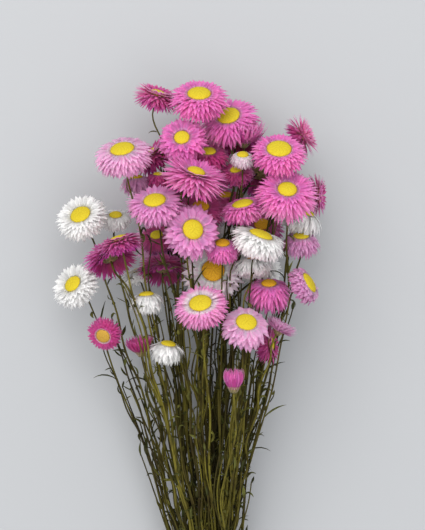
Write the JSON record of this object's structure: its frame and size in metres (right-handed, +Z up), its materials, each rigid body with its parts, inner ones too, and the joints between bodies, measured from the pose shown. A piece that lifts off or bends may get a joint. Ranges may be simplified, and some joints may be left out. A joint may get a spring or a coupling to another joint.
{
  "type": "dried paper daisy bunch",
  "caption": "Tied bunch of dried paper daisies with papery pink, magenta and white heads on thin olive stems, lying down.",
  "frame": {"origin": "on the surface that the bunch lies on, under the middle of its box", "axes": "+Y along the stems towards the heads, +Z up from the surface, +X to the right seen from above with the heads away"},
  "size_m": [0.1764, 0.4416, 0.1149],
  "materials": {
    "bracts_white": "matt, dry and papery, ivory white",
    "bracts_blush": "matt, dry and papery, pale pink fading to white at the tips",
    "bracts_pink": "matt, dry and papery, candy pink",
    "bracts_magenta": "matt, dry and papery, deep magenta",
    "bracts_mauve": "matt, dry and papery, dusty mauve",
    "disc": "matt and granular, egg-yolk yellow",
    "stems": "matt, ridged and dry, olive green to brown",
    "band": "satin, plain tan"
  },
  "bodies": {
    "root": {"bloom_blush_1": "bracts_blush", "bloom_blush_2": "bracts_blush", "bloom_blush_3": "bracts_blush", "bloom_magenta_1": "bracts_magenta", "bloom_magenta_10": "bracts_magenta", "bloom_magenta_11": "bracts_magenta", "bloom_magenta_12": "bracts_magenta", "bloom_magenta_13": "bracts_magenta", "bloom_magenta_14": "bracts_magenta", "bloom_magenta_2": "bracts_magenta", "bloom_magenta_3": "bracts_magenta", "bloom_magenta_4": "bracts_magenta", "bloom_magenta_5": "bracts_magenta", "bloom_magenta_6": "bracts_magenta", "bloom_magenta_7": "bracts_magenta", "bloom_magenta_8": "bracts_magenta", "bloom_magenta_9": "bracts_magenta", "bloom_mauve_1": "bracts_mauve", "bloom_mauve_10": "bracts_mauve", "bloom_mauve_11": "bracts_mauve", "bloom_mauve_2": "bracts_mauve", "bloom_mauve_3": "bracts_mauve", "bloom_mauve_4": "bracts_mauve", "bloom_mauve_5": "bracts_mauve", "bloom_mauve_6": "bracts_mauve", "bloom_mauve_7": "bracts_mauve", "bloom_mauve_8": "bracts_mauve", "bloom_mauve_9": "bracts_mauve", "bloom_pink_1": "bracts_pink", "bloom_pink_10": "bracts_pink", "bloom_pink_11": "bracts_pink", "bloom_pink_2": "bracts_pink", "bloom_pink_3": "bracts_pink", "bloom_pink_4": "bracts_pink", "bloom_pink_5": "bracts_pink", "bloom_pink_6": "bracts_pink", "bloom_pink_7": "bracts_pink", "bloom_pink_8": "bracts_pink", "bloom_pink_9": "bracts_pink", "bloom_white_1": "bracts_white", "bloom_white_2": "bracts_white", "bloom_white_3": "bracts_white", "bloom_white_4": "bracts_white", "bloom_white_5": "bracts_white", "bloom_white_6": "bracts_white", "bloom_white_7": "bracts_white", "bloom_white_8": "bracts_white", "bloom_white_9": "bracts_white", "blooms_blush_4_5": "bracts_blush", "blooms_magenta_15_16": "bracts_magenta", "blooms_pink_12_13": "bracts_pink", "blooms_white_10_11": "bracts_white", "leafy_stems_1": "stems", "leafy_stems_2": "stems", "leafy_stems_3": "stems", "leafy_stems_4": "stems", "leafy_stems_5": "stems", "leafy_stems_6": "stems", "leafy_stems_7": "stems", "tie_band": "band"}
  },
  "joints": []
}
